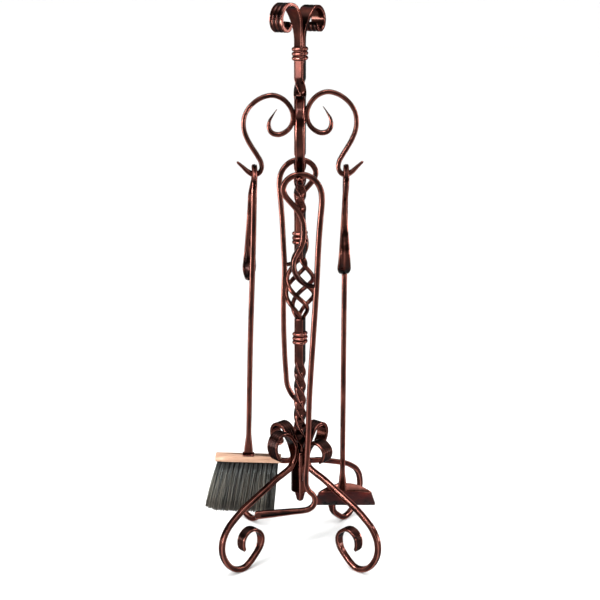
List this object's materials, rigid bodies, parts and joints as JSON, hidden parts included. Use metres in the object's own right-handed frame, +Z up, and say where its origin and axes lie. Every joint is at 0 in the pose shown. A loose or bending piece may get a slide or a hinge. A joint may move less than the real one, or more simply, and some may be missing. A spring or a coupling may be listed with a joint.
{
  "type": "fireplace tool set",
  "caption": "Wrought scroll stand with a twisted column and basket, holding a hearth brush, shovel, ash rake and poker on curled hooks.",
  "frame": {"origin": "on the floor, on the column's axis, in the middle of the four feet", "axes": "+X towards the shovel, -X towards the brush, -Y towards the front where the ash rake hangs, +Z up the column"},
  "size_m": [0.2498, 0.2276, 0.7729],
  "materials": {
    "wrought_metal": "satin antique copper patina over wrought iron",
    "beech": "oiled, matt",
    "bristle": "dull"
  },
  "bodies": {
    "stand": {"upper_post": "wrought_metal", "lower_post": "wrought_metal", "base_hub": "wrought_metal", "lower_collar": "wrought_metal", "middle_collar": "wrought_metal", "top_collar": "wrought_metal", "basket_strand_1": "wrought_metal", "basket_strand_2": "wrought_metal", "basket_strand_3": "wrought_metal", "basket_strand_4": "wrought_metal", "hook_right": "wrought_metal", "hook_back": "wrought_metal", "hook_left": "wrought_metal", "hook_front": "wrought_metal", "leg_front_left": "wrought_metal", "leg_front_right": "wrought_metal", "leg_back_right": "wrought_metal", "leg_back_left": "wrought_metal", "finial_horn_left": "wrought_metal", "finial_horn_right": "wrought_metal"},
    "brush": {"brush_rod": "wrought_metal", "brush_block": "beech", "brush_screws": "wrought_metal", "brush_bristles": "bristle"},
    "shovel": {"shovel_rod": "wrought_metal", "shovel_pan": "wrought_metal", "shovel_rivets": "wrought_metal"},
    "ash_rake": {"ash_rake": "wrought_metal"},
    "poker": {"poker": "wrought_metal"}
  },
  "joints": [
    {"name": "brush_lift_off", "type": "slide", "parent": "stand", "child": "brush", "axis": [-0.7466, 0, 0.6652], "range_m": [0, 0.12]},
    {"name": "shovel_lift_off", "type": "slide", "parent": "stand", "child": "shovel", "axis": [0.7466, 0, 0.6652], "range_m": [0, 0.12]},
    {"name": "ash_rake_lift_off", "type": "slide", "parent": "stand", "child": "ash_rake", "axis": [0, -0.7466, 0.6652], "range_m": [0, 0.12]},
    {"name": "poker_lift_off", "type": "slide", "parent": "stand", "child": "poker", "axis": [0, 0.7466, 0.6652], "range_m": [0, 0.12]}
  ]
}
